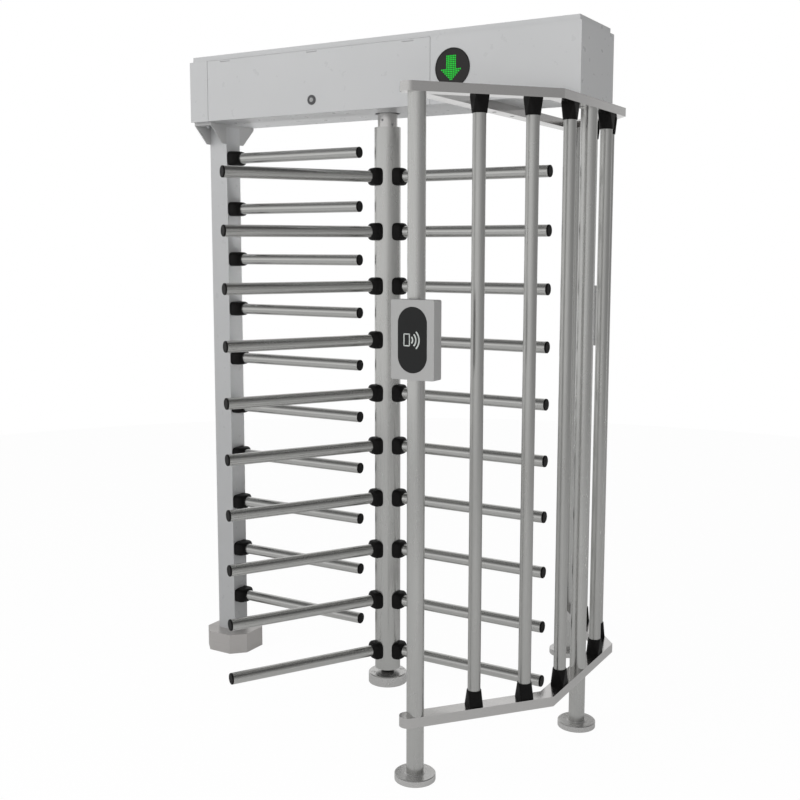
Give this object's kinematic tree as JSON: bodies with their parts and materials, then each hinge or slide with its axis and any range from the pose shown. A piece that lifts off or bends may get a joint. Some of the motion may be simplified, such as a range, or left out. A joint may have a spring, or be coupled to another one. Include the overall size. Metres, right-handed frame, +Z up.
{
  "type": "full height turnstile",
  "caption": "Full height turnstile for one walking lane: a bar rotor that turns between a comb post and a curved bar cage under a housing with its locks and damper.",
  "frame": {"origin": "on the rotor's axis, at floor level", "axes": "+X along the housing from the comb post to the cage, +Y through the lane to the rear, +Z up along the rotor's axis"},
  "size_m": [1.557, 1.2904, 2.2023],
  "materials": {
    "housing_paint": "satin light grey powder coat",
    "post_paint": "satin light grey powder coat",
    "foot_steel": "satin stainless steel",
    "brushed_tube": "brushed stainless steel tube",
    "frame_steel": "brushed stainless steel",
    "black_plastic": "fine-grained black plastic",
    "collar": "dark moulded plastic",
    "rim": "light grey rim",
    "dark_window": "smoked glossy window",
    "lamps": "green light points",
    "reader_grey": "satin grey",
    "machined_steel": "machined or zinc-plated steel",
    "pawl_steel": "yellow-passivated steel",
    "cast_housing": "painted casting",
    "bronze": "bearing bronze",
    "lock_metal": "polished",
    "solenoid_black": "dark painted metal",
    "board_green": "solder-masked board",
    "supply_metal": "perforated case"
  },
  "bodies": {
    "frame": {"left_post": "post_paint", "left_foot_cover": "foot_steel", "left_head_bracket": "housing_paint", "comb_bars": "brushed_tube", "comb_sockets": "black_plastic", "comb_caps": "black_plastic", "cage_legs": "brushed_tube", "leg_floor_covers": "foot_steel", "front_post": "brushed_tube", "middle_post": "brushed_tube", "rear_post": "brushed_tube", "cage_lower_frame": "frame_steel", "cage_upper_frame": "frame_steel", "cage_cross_bar": "frame_steel", "cage_tubes": "brushed_tube", "upper_adapters": "black_plastic", "lower_adapters": "black_plastic", "housing_body": "housing_paint", "housing_lid": "housing_paint", "left_end_cover": "housing_paint", "right_front_panel": "housing_paint", "indicator_rim": "rim", "indicator_lens": "dark_window", "indicator_lamps": "lamps", "door_hinge_leaf": "machined_steel", "door_hinge_pin": "machined_steel", "mechanism_plate": "machined_steel", "bearing_housing": "cast_housing", "bearing_outer_ring": "machined_steel", "bearing_balls": "machined_steel", "solenoids": "solenoid_black", "damper_body": "solenoid_black", "control_board": "board_green", "power_supply": "supply_metal", "front_reader_box": "reader_grey", "rear_reader_box": "reader_grey", "reader_windows": "dark_window", "frame_bolts": "machined_steel", "rotor_base": "foot_steel"},
    "rotor": {"rotor_column": "brushed_tube", "rotor_shaft": "machined_steel", "foot_collar": "collar", "foot_bush": "bronze", "arm_sockets": "black_plastic", "wing_a_arms": "brushed_tube", "wing_b_arms": "brushed_tube", "wing_c_arms": "brushed_tube", "arm_caps": "black_plastic", "index_disc": "machined_steel", "drive_gear": "machined_steel", "bearing_inner_ring": "machined_steel", "rotor_fasteners": "machined_steel"},
    "door": {"access_door": "housing_paint", "lock_body": "lock_metal"},
    "lock_cam": {"lock_cam": "lock_metal"},
    "entry_pawl": {"entry_pawl": "pawl_steel"},
    "exit_pawl": {"exit_pawl": "pawl_steel"},
    "entry_plunger": {"entry_plunger": "machined_steel"},
    "exit_plunger": {"exit_plunger": "machined_steel"},
    "damper_pinion": {"damper_pinion": "machined_steel"}
  },
  "joints": [
    {"name": "rotor_spin", "type": "hinge", "parent": "frame", "child": "rotor", "pos_m": [0, 0, 0], "axis": [0, 0, 1], "continuous": true},
    {"name": "door_hinge", "type": "hinge", "parent": "frame", "child": "door", "pos_m": [-0.209, -0.138, 2.1805], "axis": [-1, 0, 0], "range_deg": [0, 95]},
    {"name": "lock_turn", "type": "hinge", "parent": "door", "child": "lock_cam", "pos_m": [-0.21, -0.13, 2.021], "axis": [0, 1, 0], "range_deg": [0, 90]},
    {"name": "entry_pawl_swing", "type": "hinge", "parent": "frame", "child": "entry_pawl", "pos_m": [-0.11362, 0.0568, 2.0305], "axis": [0, 0, -1], "range_deg": [0, 9.8], "stiffness_Nm_per_rad": 1},
    {"name": "exit_pawl_swing", "type": "hinge", "parent": "frame", "child": "exit_pawl", "pos_m": [-0.11362, -0.0568, 2.0305], "axis": [0, 0, 1], "range_deg": [0, 9.8], "stiffness_Nm_per_rad": 1},
    {"name": "entry_plunger_slide", "type": "slide", "parent": "frame", "child": "entry_plunger", "axis": [1, 0, 0], "range_m": [0, 0.006]},
    {"name": "exit_plunger_slide", "type": "slide", "parent": "frame", "child": "exit_plunger", "axis": [1, 0, 0], "range_m": [0, 0.006]},
    {"name": "damper_spin", "type": "hinge", "parent": "frame", "child": "damper_pinion", "pos_m": [0.135, 0, 2.05], "axis": [0, 0, 1], "continuous": true}
  ],
  "couplings": [
    {"joint": "entry_plunger_slide", "follows": "entry_pawl_swing", "m_per_rad": 0.035},
    {"joint": "exit_plunger_slide", "follows": "exit_pawl_swing", "m_per_rad": 0.035},
    {"joint": "damper_spin", "follows": "rotor_spin", "ratio": -4}
  ]
}
